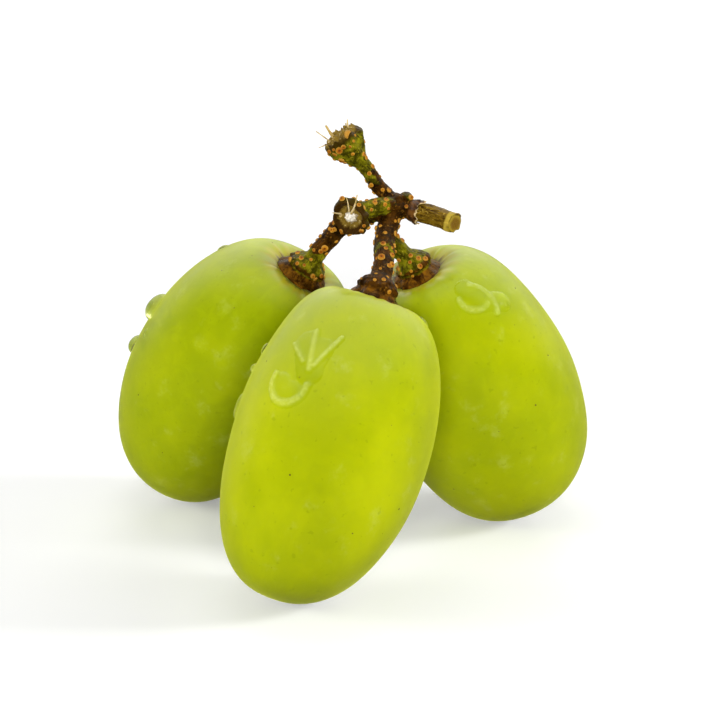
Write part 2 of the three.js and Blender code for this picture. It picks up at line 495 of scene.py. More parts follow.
def frames_along(rail):
    """Two directions across the rail at each point, carried along it without twisting."""
    ways = np.gradient(rail, axis=0)
    ways /= np.linalg.norm(ways, axis=1)[:, None]
    across = np.cross(ways[0], (0.3, 0.1, 1.0))
    firsts = []
    for way in ways:
        across = across - way * np.dot(across, way)
        across /= np.linalg.norm(across)
        firsts.append(across)
    firsts = np.array(firsts)
    return ways, firsts, np.cross(ways, firsts)


for name, stalk in STALKS.items():
    points = [np.array(p) + np.array(STEM_SHIFT) for p in stalk["route"]]
    if "grape" in stalk:
        grape = GRAPES[stalk["grape"]]
        height = grape["half_length"] - dimple(stalk["foot"]) + SEAT_GAP * 0.3
        for above in (SEAT_REACH, 0.0):
            points.append(np.array(grape["centre"] + grape["turn"] @ Vector((0, 0, height + above))))
    stalk["rail"], stalk["along"] = catmull(points, RAIL_STEP)
    stalk["ways"], stalk["firsts"], stalk["seconds"] = frames_along(stalk["rail"])
    print(name, "stalk is", round(stalk["along"][-1], 1), "mm long")

# %% Lofting a stalk
STALK_SIDES = 40


def stalk_radius(stalk, along):
    """Radius of a stalk: slim, then spreading to a flange, and under it a cone that enters the dimple."""
    left = stalk["along"][-1] - along
    spread = smoothstep(stalk["flare"], 1.1 if "grape" in stalk else 0.35, left)
    radius = stalk["thickness"] / 2 + (stalk["foot"] - stalk["thickness"] / 2) * spread
    if "grape" in stalk:
        cone = smoothstep(0.9, 0.1, left) * (2.34 - stalk["foot"])
        radius = radius + cone - 0.13 * np.exp(-(((left - 0.92) / 0.13) ** 2))
    elif stalk["foot"] > stalk["thickness"] / 2 + 0.3:
        radius = radius - 0.16 * smoothstep(0.4, 0.0, left)
    return radius


def loft(stalk, seed):
    points = [stalk["rail"][0]]
    length = stalk["along"][-1]
    for here, along, first, second in zip(stalk["rail"], stalk["along"], stalk["firsts"], stalk["seconds"]):
        radius = stalk_radius(stalk, along)
        near_foot = smoothstep(stalk["flare"], 0.5, length - along)
        for side in range(STALK_SIDES):
            angle = side * 2 * math.pi / STALK_SIDES
            c, s = math.cos(angle), math.sin(angle)
            swell = 0.11 * noise.noise(Vector((c * 1.3, s * 1.3, along * 0.55 + seed * 7)))
            tear = noise.noise(Vector((c * 3.2, s * 3.2, along * 0.9 + seed * 13)))
            ragged = (0.13 if "grape" in stalk else 0.22) * near_foot * tear
            out = (first * c + second * s) * radius * (1 + swell + ragged)
            slant = stalk["ways"][-1] * (stalk.get("slant", 0.0) * smoothstep(1.4, 0.0, length - along))
            points.append(here + out - slant * out.dot(np.array(TO_VIEWER)))
    points.append(stalk["rail"][-1])
    return points, ring_faces(len(stalk["rail"]), STALK_SIDES)


def lump(centre, radius, squash=1.0):
    """A small ball that fills a joint."""
    points = [centre + np.array((0, 0, -radius * squash))]
    rings, sides = 9, 20
    for ring in range(1, rings + 1):
        tilt = math.pi * ring / (rings + 1)
        for side in range(sides):
            angle = side * 2 * math.pi / sides
            points.append(centre + radius * np.array(
                (math.sin(tilt) * math.cos(angle), math.sin(tilt) * math.sin(angle),
                 -math.cos(tilt) * squash)))
    points.append(centre + np.array((0, 0, radius * squash)))
    return points, ring_faces(rings, sides)


# %% Melting the stalks into one body
VOXEL = 0.078
parts = [loft(stalk, seed) for seed, stalk in enumerate(STALKS.values())]
shift = np.array(STEM_SHIFT)
parts.append(lump(np.array(KNUCKLE) + shift, KNUCKLE_RADIUS, 0.85))
# swellings beside the knuckle: how far from its middle, and their radius, in mm
for offset, radius in (((-2.0, -0.4, -0.4), 0.72), ((-0.2, 0.0, 0.7), 0.8), ((0.8, 0.2, 0.9), 0.6)):
    parts.append(lump(np.array(KNUCKLE) + shift + np.array(offset), radius, 0.85))
all_points, all_faces = [], []
for points, faces in parts:
    start = len(all_points)
    all_points += list(points)
    all_faces += [tuple(index + start for index in face) for face in faces]
rough_mesh = bpy.data.meshes.new("stem_rough")
rough_mesh.from_pydata([tuple(p) for p in all_points], [], all_faces)
rough = bpy.data.objects.new("stem_rough", rough_mesh)
bpy.context.scene.collection.objects.link(rough)
remesh = rough.modifiers.new("melt", "REMESH")
remesh.mode = "VOXEL"
remesh.voxel_size = VOXEL
soften = rough.modifiers.new("soften", "SMOOTH")
soften.factor = 0.5
soften.iterations = 5
melted = bpy.data.meshes.new_from_object(rough.evaluated_get(bpy.context.evaluated_depsgraph_get()))
bpy.data.objects.remove(rough)
body = np.empty(len(melted.vertices) * 3, dtype=np.float32)
melted.vertices.foreach_get("co", body)
body = body.reshape(-1, 3).astype(float)
facing = np.empty(len(melted.vertices) * 3, dtype=np.float32)
melted.vertices.foreach_get("normal", facing)
facing = facing.reshape(-1, 3).astype(float)
body_faces = [tuple(face.vertices) for face in melted.polygons]
print("melted stem:", len(body), "points,", len(body_faces), "faces")

# %% Where each point of the stem lies on its stalk
stalk_list = list(STALKS.values())


def nearest_on(stalk, points):
    """For each point: its depth in a stalk (1 is the surface), place along and round it, and radius."""
    rail = stalk["rail"]
    apart = (points ** 2).sum(axis=1)[:, None] + (rail ** 2).sum(axis=1)[None] - 2 * points @ rail.T
    step = apart.argmin(axis=1)
    offset = points - rail[step]
    depth = np.linalg.norm(offset, axis=1) / stalk_radius(stalk, stalk["along"][step])
    along = stalk["along"][step] + (offset * stalk["ways"][step]).sum(axis=1)
    first, second = ((offset * stalk[key][step]).sum(axis=1) for key in ("firsts", "seconds"))
    return depth, along, np.arctan2(second, first), np.hypot(first, second)


found = np.array([nearest_on(stalk, body) for stalk in stalk_list])  # stalk, value, point
stalk_of = found[:, 0].argmin(axis=0)
each = np.arange(len(body))
along_of = found[stalk_of, 1, each]
across_of = found[stalk_of, 2, each]
radius_of = found[stalk_of, 3, each]
left_of = np.array([stalk["along"][-1] for stalk in stalk_list])[stalk_of] - along_of
holds_grape = np.array(["grape" in stalk for stalk in stalk_list])[stalk_of]
is_shoot = stalk_of == list(STALKS).index("shoot")

# %% Wrinkles of the bark
grain_way = np.stack([np.cos(across_of), np.sin(across_of), along_of * 0.28 + stalk_of * 9], axis=1)


def noise_of(points, scale, seed=0.0):
    return np.array([noise.noise(Vector(p) * scale + Vector((seed, 0, 0))) for p in points])


def is_stalk(name):
    return stalk_of == list(STALKS).index(name)


wrinkles = 1 - np.abs(noise_of(grain_way, 3.4)) * 2
knobs = noise_of(body, 1.5, 5)
grit = noise_of(body, 5.5, 9)
collar = np.where(holds_grape, smoothstep(1.0, 0.82, left_of), 0.0)
warty_edge = np.where(holds_grape, np.exp(-(((left_of - 1.25) / 0.3) ** 2)), 0.0)
rise = (0.045 * wrinkles + 0.06 * knobs + 0.028 * grit) * (1 - 0.8 * collar)
rise += 0.16 * warty_edge * noise_of(body, 2.6, 21)

# %% [markdown]
# The ends of the two bare stalks are scars: a torn rim round a hollow, with the broken threads of the
# grape's core in the middle. The points of each end face are pushed in and out by how far they are from
# the middle, which keeps scar and stalk one closed skin.

# %% Scars on the bare ends
end_radius = np.ones(len(body))
end_face = np.zeros(len(body))
sink = np.zeros(len(body))
for name in ("side", "upper", "shoot"):
    stalk = STALKS[name]
    on_end = is_stalk(name) * smoothstep(0.35, 0.1, left_of - (0.3 if name == "shoot" else 0.0))
    full = stalk_radius(stalk, stalk["along"][-1])
    share = radius_of / full
    end_face = np.maximum(end_face, on_end * smoothstep(1.04, 0.92, share))
    end_radius = np.where(on_end > 0, share, end_radius)
    if name == "shoot":
        continue
    crumbs = noise_of(body, 2.4, 31) + 0.6 * noise_of(body, 5.5, 37)
    rim = np.exp(-(((share - 0.93) / 0.09) ** 2))
    hollow = smoothstep(0.88, 0.55, share)
    core = np.exp(-((share / 0.27) ** 2))
    height = {
        "side": 0.20 * rim - 0.40 * hollow + 0.44 * core + 0.34 * crumbs * smoothstep(1.05, 0.8, share),
        "upper": 0.10 + 0.42 * (1 - share ** 2) + 0.50 * crumbs * smoothstep(1.1, 0.9, share),
    }[name]
    sink += on_end * np.where(left_of < 0.35, height, 0)
ways_of = np.array([stalk["ways"][-1] for stalk in stalk_list])[stalk_of]
body = body + facing * (rise * (1 - end_face))[:, None] + ways_of * sink[:, None]

stem = make_piece("stem_bark", body, body_faces)
dark = np.zeros(len(body))
wander = along_of + 1.3 * noise_of(body, 0.8, 41) + 0.5 * noise_of(body, 2.2, 43)
for number, stalk in enumerate(stalk_list):
    for start, end in stalk["dark"]:
        band = smoothstep(start - 0.8, start + 0.4, wander) * smoothstep(end + 0.8, end - 0.4, wander)
        dark = np.maximum(dark, np.where(stalk_of == number, band, 0))
near_knuckle = smoothstep(2.0, 0.9, np.linalg.norm(body - np.array(KNUCKLE + STEM_SHIFT), axis=1))
rim_dark = np.where(is_stalk("upper") | is_stalk("side"), smoothstep(0.8, 0.25, left_of), 0.0)
store(stem, "dark", np.clip(np.maximum(dark, near_knuckle) + 0.6 * warty_edge, 0, 1))
store(stem, "collar", collar)
store(stem, "rim", rim_dark)
store(stem, "end_face", end_face)
store(stem, "scar_age", np.where(is_stalk("upper"), 0.38 + 0.26 * end_radius, end_radius))
store(stem, "shoot", np.where(is_shoot, smoothstep(0.6, 1.6, along_of), 0.0))
store(stem, "shoot_left", np.where(is_shoot, left_of, 9.0))
store(stem, "grain_way", grain_way, "FLOAT_VECTOR")
stem_tree = BVHTree.FromPolygons([Vector(p) for p in body], body_faces)
print("stem:", len(stem.data.polygons), "faces, end-face points:", int((end_face > 0.5).sum()))

# %% [markdown]
# ## Bark material
#
# Young stalk bark is olive green with darker lengthwise streaks, and it goes dark brown in patches as it
# dries. The patches are painted by a value stored on the points, broken up by noise, and the streaks
# follow a direction stored with it, so that they run along every stalk however it bends.


# %% Bark
def stem_bark_material():
    material, tree, shader = new_material("stem_bark")
    place = object_place(tree)
    streaks = noise_at(tree, attribute(tree, "grain_way", "Vector"), 5.0, 6, 0.7)
    fine = noise_at(tree, place, 3600, 4, 0.65)

    def mottled(dark, light, until=0.40, start=0.64):
        return stained(tree, place, 1100, dark, light, until, start, 6, 0.7)

    def over(colour, value, low, high, tone):
        """Paints a tone where a value passes from low to high."""
        return blend_colour(tree, remap(tree, value, low, high), colour, tone)

    green, mottle = mottled((0.034, 0.031, 0.0006), (0.20, 0.185, 0.004), 0.38)
    green = over(green, streaks, 0.50, 0.36, (0.022, 0.017, 0.0006))
    green = over(green, fine, 0.56, 0.72, (0.33, 0.27, 0.02))
    brown, _ = mottled((0.009, 0.003, 0.0004), (0.062, 0.022, 0.0015))
    brown = over(brown, fine, 0.56, 0.72, (0.20, 0.09, 0.010))
    streaked = maths(tree, "ADD", attribute(tree, "dark"),
                     maths(tree, "MULTIPLY", maths(tree, "SUBTRACT", streaks, 0.5), 1.4))
    colour = blend_colour(tree, broken(tree, streaked, mottle, 1.6, 0.28, 0.60), green, brown)
    rim = maths(tree, "MULTIPLY", attribute(tree, "rim"), 0.93)
    colour = blend_colour(tree, rim, colour, (0.026, 0.012, 0.001))

    straw = blend_colour(tree, remap(tree, streaks, 0.36, 0.62), (0.030, 0.013, 0.001), (0.19, 0.11, 0.008))
    straw = over(straw, fine, 0.55, 0.72, (0.42, 0.28, 0.04))
    shoot = attribute(tree, "shoot")
    colour = blend_colour(tree, shoot, colour, straw)
    shoot_left = attribute(tree, "shoot_left")
    band = maths(tree, "MULTIPLY", remap(tree, shoot_left, 0.85, 0.65), remap(tree, shoot_left, 0.1, 0.25))
    colour = blend_colour(tree, maths(tree, "MULTIPLY", band, 0.85), colour, (0.50, 0.36, 0.045))

    collar = attribute(tree, "collar")
    wet_cork, _ = mottled((0.020, 0.006, 0.0005), (0.19, 0.075, 0.004), 0.40, 0.62)
    wet_cork = over(wet_cork, streaks, 0.52, 0.36, (0.030, 0.009, 0.0006))
    colour = blend_colour(tree, collar, colour, wet_cork)

    scar_age = attribute(tree, "scar_age")

    def aged(low, high):
        return broken(tree, scar_age, mottle, 0.7, low, high)

    scar = blend_colour(tree, aged(0.22, 0.38), (0.82, 0.77, 0.66), (0.19, 0.12, 0.018))
    scar = over(scar, fine, 0.56, 0.70, (0.62, 0.47, 0.18))
    scar = blend_colour(tree, aged(0.60, 0.76), scar, (0.035, 0.015, 0.002))
    wood = blend_colour(tree, aged(0.45, 0.85), (0.16, 0.085, 0.008), (0.30, 0.21, 0.02))
    wood = blend_colour(tree, aged(0.86, 0.98), wood, (0.06, 0.035, 0.004))
    end_colour = blend_colour(tree, shoot, scar, wood)
    colour = blend_colour(tree, attribute(tree, "end_face"), colour, end_colour)

    rough = maths(tree, "SUBTRACT", remap(tree, mottle, 0.3, 0.7, 0.36, 0.6),
                  maths(tree, "MULTIPLY", collar, 0.16))
    height = maths(tree, "MULTIPLY", maths(tree, "ADD", streaks, mottle), 0.6)
    height = maths(tree, "ADD", height, maths(tree, "MULTIPLY", fine, 0.25))
    finish_shader(tree, shader, colour, rough, height, 0.7, 0.00016, **{
        "IOR": 1.27, "Specular Tint": (1.0, 0.75, 0.35)})
    return material


bark = stem_bark_material()
finish_piece(stem, "stem_bark", bark, "stem")

# %% [markdown]
# ## Warts and specks
#
# Bark and skin breathe through pores. On a stalk each pore is a raised corky wart with a darker, sunken
# middle; on a grape it is only a dark speck. Both are one small shape set many times on a surface, so a
# Geometry Nodes tree sets it: at listed points for the few largest warts, and at points scattered
# with a fixed seed for all the rest.


# %% Small shapes to set
def small_dome(name, outline, sides):
    """A closed round button of radius one, from (radius, height) pairs, with its radius stored as cap."""
    points = [(0, 0, outline[0][1])]
    caps = [outline[0][0]]
    for radius, height in outline:
        for side in range(sides):
            angle = side * 2 * math.pi / sides
            points.append((radius * math.cos(angle), radius * math.sin(angle), height))
            caps.append(radius)
    points.append((0, 0, outline[-1][1] - 0.04))
    caps.append(0.0)
    dome = make_piece(name, np.array(points) / MM, ring_faces(len(outline), sides))
    store(dome, "cap", caps)
    dome.hide_render = True
    return dome


wart_shape = small_dome("wart_shape", [(0.9, -0.4), (1.0, -0.1), (0.97, 0.2), (0.8, 0.46), (0.5, 0.56),
                                       (0.26, 0.46)], 10)
speck_shape = small_dome("speck_shape", [(0.9, -0.5), (1.0, 0.0), (0.7, 0.16), (0.3, 0.2)], 8)


# %% A tree that sets small shapes on a surface
def marks_tree():
    """Sets a shape at placed points and at scattered ones, each turned to face out of the surface."""
    tree = bpy.data.node_groups.new("marks_on_a_surface", "GeometryNodeTree")
    sockets = (("Surface", "NodeSocketGeometry"), ("Placed points", "NodeSocketObject"),
               ("Shape", "NodeSocketObject"), ("Least distance", "NodeSocketFloat"),
               ("Density", "NodeSocketFloat"), ("Smallest", "NodeSocketFloat"),
               ("Largest", "NodeSocketFloat"),
               ("Crumple", "NodeSocketFloat"), ("Seed", "NodeSocketInt"), ("Material", "NodeSocketMaterial"))
    for name, kind in sockets:
        tree.interface.new_socket(name=name, in_out="INPUT", socket_type=kind)
    tree.interface.new_socket(name="Marks", in_out="OUTPUT", socket_type="NodeSocketGeometry")
    start = tree.nodes.new("NodeGroupInput").outputs
    finish = tree.nodes.new("NodeGroupOutput")

    def node(kind, links=(), **settings):
        made = tree.nodes.new(kind)
        for key, value in settings.items():
            setattr(made, key, value)
        for socket, source in links:
            tree.links.new(source, made.inputs[socket])
        return made

    def named(name, kind="FLOAT"):
        made = node("GeometryNodeInputNamedAttribute", data_type=kind)
        made.inputs["Name"].default_value = name
        return made.outputs["Attribute"]

    share = named("mark_share")
    scatter = node("GeometryNodeDistributePointsOnFaces", distribute_method="POISSON")
    for socket, source in (("Mesh", start["Surface"]), ("Distance Min", start["Least distance"]),
                           ("Density Max", start["Density"]), ("Density Factor", share),
                           ("Seed", start["Seed"])):
        tree.links.new(source, scatter.inputs[socket])
    size = node("FunctionNodeRandomValue", data_type="FLOAT")
    tree.links.new(start["Smallest"], size.inputs[2])
    tree.links.new(start["Largest"], size.inputs[3])
    tree.links.new(start["Seed"], size.inputs["Seed"])

    def keep(geometry, name, value, kind):
        made = node("GeometryNodeStoreNamedAttribute", [("Geometry", geometry), ("Value", value)],
                    data_type=kind, domain="POINT")
        made.inputs["Name"].default_value = name
        return made.outputs["Geometry"]

    strewn = keep(scatter.outputs["Points"], "size", size.outputs[1], "FLOAT")
    strewn = keep(strewn, "facing", scatter.outputs["Normal"], "FLOAT_VECTOR")
    placed = node("GeometryNodeObjectInfo", [("Object", start["Placed points"])]).outputs["Geometry"]
    both = node("GeometryNodeJoinGeometry")
    tree.links.new(strewn, both.inputs[0])
    tree.links.new(placed, both.inputs[0])
    shape = node("GeometryNodeObjectInfo", [("Object", start["Shape"])]).outputs["Geometry"]
    turn = node("FunctionNodeAlignRotationToVector", [("Vector", named("facing", "FLOAT_VECTOR"))], axis="Z")
    set_out = node("GeometryNodeInstanceOnPoints", [
        ("Points", both.outputs[0]), ("Instance", shape), ("Rotation", turn.outputs[0]),
        ("Scale", named("size"))])
    whole = node("GeometryNodeRealizeInstances", [("Geometry", set_out.outputs[0])]).outputs[0]
    wobble = node("ShaderNodeTexNoise", noise_dimensions="3D")
    wobble.inputs["Scale"].default_value = 4000
    centred = node("ShaderNodeVectorMath", [(0, wobble.outputs["Color"])], operation="SUBTRACT")
    centred.inputs[1].default_value = (0.5, 0.5, 0.5)
    offset = node("ShaderNodeVectorMath", [(0, centred.outputs[0]), ("Scale", start["Crumple"])],
                  operation="SCALE")
    moved = node("GeometryNodeSetPosition", [("Geometry", whole), ("Offset", offset.outputs[0])])
    smooth = node("GeometryNodeSetShadeSmooth", [("Geometry", moved.outputs[0])])
    coated = node("GeometryNodeSetMaterial", [
        ("Geometry", smooth.outputs[0]), ("Material", start["Material"])])
    tree.links.new(coated.outputs[0], finish.inputs[0])
    return tree


marks = marks_tree()


def set_marks(name, surface, placed, shape, material, **inputs):
    """Runs the tree on a copy of a surface and gives back the marks as a plain mesh."""
    points = bpy.data.meshes.new(name + "_points")
    points.from_pydata([Vector(place) * MM for place, _, _ in placed], [], [])
    holder = bpy.data.objects.new(name + "_points", points)
    bpy.context.scene.collection.objects.link(holder)
    store(holder, "facing", [list(normal) for _, normal, _ in placed], "FLOAT_VECTOR")
    store(holder, "size", [size * MM for _, _, size in placed])
    carrier = bpy.data.objects.new(name + "_carrier", surface.data)
    bpy.context.scene.collection.objects.link(carrier)
    modifier = carrier.modifiers.new("marks", "NODES")
    modifier.node_group = marks
    keys = {item.name: item.identifier for item in marks.interface.items_tree if item.in_out == "INPUT"}
    values = {"Placed points": holder, "Shape": shape, "Material": material, **inputs}
    for key, value in values.items():
        modifier[keys[key]] = value
    bpy.context.view_layer.update()
    result = bpy.data.meshes.new_from_object(
        carrier.evaluated_get(bpy.context.evaluated_depsgraph_get()))
    bpy.data.objects.remove(carrier)
    bpy.data.objects.remove(holder)
    piece = bpy.data.objects.new(name, result)
    bpy.context.scene.collection.objects.link(piece)
    print(name, len(placed), "placed,", len(result.polygons), "faces in all")
    return piece


# %% Places on a stalk and on a grape
def turned_from_front(way, turn):
    """A direction square to way, turned round it in degrees from the side that faces the front."""
    out = (TO_VIEWER - way * TO_VIEWER.dot(way)).normalized()
    return Matrix.Rotation(math.radians(turn), 3, way) @ out


def on_stalk(name, along, turn):
    """The bark of a stalk, so many mm along it, and which way the bark faces there."""
    stalk = STALKS[name]
    step = int(np.abs(stalk["along"] - along).argmin())
    out = turned_from_front(Vector(stalk["ways"][step]), turn)
    near = Vector(stalk["rail"][step]) + out * float(stalk_radius(stalk, stalk["along"][step]))
    place, normal, _, _ = stem_tree.find_nearest(near)
    return place, normal


def on_grape(grape, along, turn):
    """The skin of a grape, along from -1 at its tip to 1 at its stalk, and which way the skin faces."""
    axis = grape["turn"] @ Vector((0, 0, 1))
    reach = grape["half_width"] * math.sqrt(1 - along * along)
    near = grape["centre"] + axis * (grape["half_length"] * along) + turned_from_front(axis, turn) * reach
    place, normal, _, _ = grape["tree"].find_nearest(near)
    return place, normal


# %% Warts on the stalks
# the stalk, mm along it, degrees round it from the front, and the wart's radius in mm: only the largest
LARGE_WARTS = [
    ("upper", 7.2, 20, 0.40), ("upper", 6.4, -30, 0.34), ("upper", 5.6, -60, 0.30), ("upper", 4.8, 40, 0.24),
    ("front", 6.0, 20, 0.34), ("front", 4.4, 5, 0.26), ("front", 6.4, -50, 0.30), ("left", 8.0, -15, 0.32),
    ("left", 6.0, 20, 0.26), ("left", 4.5, -30, 0.24), ("right", 2.8, 0, 0.32), ("right", 3.6, 45, 0.24),
    ("side", 2.2, 30, 0.26),
]
wart_places = [(*on_stalk(name, along, turn), size) for name, along, turn, size in LARGE_WARTS]
bare = (1 - end_face) * (1 - collar) * (1 - np.where(is_shoot, smoothstep(0.4, 1.0, along_of), 0))
store(stem, "mark_share", bare)


def wart_material():
    material, tree, shader = new_material("wart_cork")
    place = object_place(tree)
    cap = attribute(tree, "cap")
    grain = noise_at(tree, place, 5200, 3, 0.6)
    colour, _ = stained(tree, place, 900, (0.28, 0.085, 0.004), (0.44, 0.19, 0.012), 0.35, 0.65, 2, 0.5)
    large = remap(tree, attribute(tree, "size"), 0.00014, 0.0003, 0.25, 1.0)
    middle = maths(tree, "MULTIPLY", broken(tree, cap, grain, 0.6, 0.50, 0.22), large)
    colour = blend_colour(tree, middle, colour, (0.13, 0.03, 0.003))
    colour = blend_colour(tree, broken(tree, cap, grain, 0.6, 0.72, 0.95), colour, (0.44, 0.22, 0.030))
    finish_shader(tree, shader, colour, remap(tree, grain, 0.3, 0.7, 0.4, 0.65), grain, IOR=1.35)
    return material


cork = wart_material()
warts = set_marks("warts", stem, wart_places, wart_shape, cork, **{
    "Least distance": 0.55 * MM, "Density": 1.6e6, "Smallest": 0.13 * MM, "Largest": 0.27 * MM,
    "Crumple": 0.05 * MM, "Seed": 4})
finish_piece(warts, "stem_bark", cork)

# %% [markdown]
# ## Fibres, flakes and the dry bract
#
# Where a grape was pulled off, threads of its core stay behind, and where the shoot leaves the knuckle a
# dry leaf scale wraps it, brown with a pale torn edge. Threads and flakes are one thing at two widths: a
# flat strip that follows a route, so one helper makes both. The scale is a loose tube round the shoot.


# %% Strips along a route
def strip(route, width, thickness, flat_to, seed, taper=True):
    """A closed strip through points in mm, its width across flat_to, uneven like torn plant tissue."""
    rail, along = catmull([np.array(p, dtype=float) for p in route], 0.12)
    ways = np.gradient(rail, axis=0)
    points = [rail[0]]
    sides = 8
    for step, (here, way) in enumerate(zip(rail, ways)):
        out = np.cross(way, np.array(flat_to, dtype=float))
        out /= np.linalg.norm(out)
        up = np.cross(out, way) / np.linalg.norm(way)
        share = along[step] / along[-1]
        slim = (1 - 0.55 * share) if taper else min(1.0, 0.35 + 4 * min(share, 1 - share))
        slim *= 1 + 0.45 * noise.noise(Vector((along[step] * 1.7, seed * 5.1, 0)))
        curl = 0.25 * width * noise.noise(Vector((along[step] * 1.1, seed * 3.3, 7)))
        for side in range(sides):
            angle = side * 2 * math.pi / sides
            points.append(here + out * math.cos(angle) * width * slim / 2
                          + up * (curl - math.sin(angle) * thickness * slim / 2))
    points.append(rail[-1])
    return points, ring_faces(len(rail), sides)


def joined(name, shapes):
    """One piece from several closed shapes, with the number of its shape stored on each point."""
    points, faces, numbers = [], [], []
    for number, (some_points, some_faces) in enumerate(shapes):
        start = len(points)
        points += list(some_points)
        faces += [tuple(index + start for index in face) for face in some_faces]
        numbers += [number] * len(some_points)
    piece = make_piece(name, points, faces)
    store(piece, "shape_number", numbers)
    return piece


# %% Threads on the scars
# the bare stalk, degrees round its end, lean (0 stands up, 1 lies flat), length and width in mm
THREADS = [
    ("upper", -80, 0.25, 1.9, 0.17), ("upper", -35, 0.1, 1.7, 0.40), ("upper", -120, 0.8, 1.5, 0.17),
    ("upper", 60, 0.4, 1.1, 0.22), ("upper", 130, 0.5, 0.9, 0.20), ("side", 15, 0.9, 2.0, 0.20),
    ("side", 38, 0.85, 1.3, 0.16), ("side", 110, 0.6, 0.7, 0.22),
]
RIM_FIBRES = 9  # short ones that stand round the upper torn rim


def thread_route(name, turn, lean, length):
    stalk = STALKS[name]
    way = Vector(stalk["ways"][-1])
    out = turned_from_front(way, turn)
    heading = (way * (1 - lean) + out * lean).normalized()
    sideways = way.cross(out) * (0.12 * length)
    start = Vector(stalk["rail"][-1]) + out * (0.5 * stalk["foot"]) + way * 0.1
    return [start + heading * (length * part) + sideways * part ** 2 for part in (-0.2, 0.1, 0.4, 0.7, 1.0)]


rim_fibres = [("upper", 360 * count / RIM_FIBRES, 0.45, 0.45, 0.24) for count in range(RIM_FIBRES)]
viewer = tuple(TO_VIEWER)
shapes = [strip(thread_route(name, turn, lean, length), width, 0.11, viewer, number)
          for number, (name, turn, lean, length, width) in enumerate(THREADS + rim_fibres)]
threads = joined("scar_threads", shapes)


def thread_material():
    material, tree, shader = new_material("dry_fibre")
    place = object_place(tree)
    colour, stain = stained(tree, place, 1100, (0.38, 0.25, 0.07), (0.68, 0.51, 0.27), 0.38, 0.66)
    rough = remap(tree, stain, 0.3, 0.7, 0.5, 0.7)
    finish_shader(tree, shader, colour, rough, noise_at(tree, place, 5000), **{
        "Subsurface Weight": 0.3, "Subsurface Radius": (1.0, 0.7, 0.35), "Subsurface Scale": 0.0005})
    return material


fibre = thread_material()
finish_piece(threads, "stem_bark", fibre)


# %% The dry bract round the shoot
def bract_shape(stalk, start, end, seed, sides=64, rows=9, opening=1.0):
    """A loose ragged sleeve round a stalk, as one closed shell, and how near each point is to its edge."""
    outer, edge = [], []
    for row in range(rows):
        share = row / (rows - 1)
        for side in range(sides):
            angle = side * 2 * math.pi / sides
            c, s = math.cos(angle), math.sin(angle)
            torn = noise.noise(Vector((c * 1.4, s * 1.4, seed)))
            torn += 0.3 * noise.noise(Vector((c * 6, s * 6, seed)))
            along = start + (end - start) * share * (1 + 0.4 * torn)
            step = min(len(stalk["rail"]) - 1, int(along / RAIL_STEP))
            ruffle = 0.16 * share ** 2 * noise.noise(Vector((c * 7, s * 7, share * 2 + seed)))
            lift = -0.14 + opening * (0.30 * smoothstep(0, 0.5, share) + 0.10 * share ** 3) + ruffle
            radius = stalk_radius(stalk, stalk["along"][step]) * (1 + 0.06 * torn) + lift
            out = stalk["firsts"][step] * c + stalk["seconds"][step] * s
            outer.append(stalk["rail"][step] + out * radius)
            edge.append(share)
    outer = np.array(outer)
    centres = outer.reshape(rows, sides, 3).mean(axis=1).repeat(sides, axis=0)
    inward = centres - outer
    inner = outer + inward / np.linalg.norm(inward, axis=1)[:, None] * 0.07
    count = rows * sides
    faces = []
    for side in range(sides):
        after = (side + 1) % sides
        for row in range(rows - 1):
            low, high = row * sides, (row + 1) * sides
            faces.append((low + side, low + after, high + after, high + side))
            faces.append((count + low + after, count + low + side, count + high + side, count + high + after))
        top = (rows - 1) * sides
        faces.append((top + side, top + after, count + top + after, count + top + side))
        faces.append((after, side, count + side, count + after))
    return np.concatenate([outer, inner]), faces, edge * 2


bract_points, bract_faces, bract_edge = bract_shape(STALKS["shoot"], 0.2, 1.75, 3)
# degrees round the shoot, mm along it, and the width of each loose flake
FLAKES = [(-60, 0.7, 0.45), (20, 1.0, 0.3), (95, 0.8, 0.4), (160, 0.9, 0.3), (230, 1.0, 0.4)]


def flake_route(turn, along):
    """Round the shoot, and lifting off it."""
    found_places = [on_stalk("shoot", along + 0.15 * part, turn + 24 * part) for part in range(4)]
    return [place + normal * (0.04 + 0.1 * part) for part, (place, normal) in enumerate(found_places)]


extra_shapes = [strip(flake_route(turn, along), width, 0.11, (0, -0.3, 1), number, taper=False)
                for number, (turn, along, width) in enumerate(FLAKES, 20)]
bract = joined("dry_bract", [(bract_points, bract_faces), *extra_shapes])
flake_points = len(bract.data.vertices) - len(bract_edge)
store(bract, "edge", bract_edge + [0.0] * flake_points)


def bract_material():
    material, tree, shader = new_material("dry_bract")
    place = object_place(tree)
    brown, stain = stained(tree, place, 1300, (0.024, 0.008, 0.002), (0.15, 0.06, 0.010), 0.40, 0.66)
    pale = broken(tree, attribute(tree, "edge"), stain, 0.5, 0.91, 1.01)
    colour = blend_colour(tree, pale, brown, (0.62, 0.46, 0.22))
    finish_shader(tree, shader, colour, remap(tree, stain, 0.3, 0.7, 0.4, 0.62), stain, 0.5, 0.0001, IOR=1.4)
    return material


finish_piece(bract, "stem_bark", bract_material())

# %% [markdown]
# ## Specks on the skin
#
# The pores of the grapes are set with the same tree as the warts, as flat dark specks a tenth of a
# millimetre across.

# %% Specks
def speck_material():
    material, tree, shader = new_material("pore")
    place = object_place(tree)
    colour, stain = stained(tree, place, 900, (0.06, 0.05, 0.002), (0.16, 0.14, 0.01), 0.4, 0.6, 2)
    finish_shader(tree, shader, colour, remap(tree, stain, 0.3, 0.7, 0.4, 0.5))
    return material


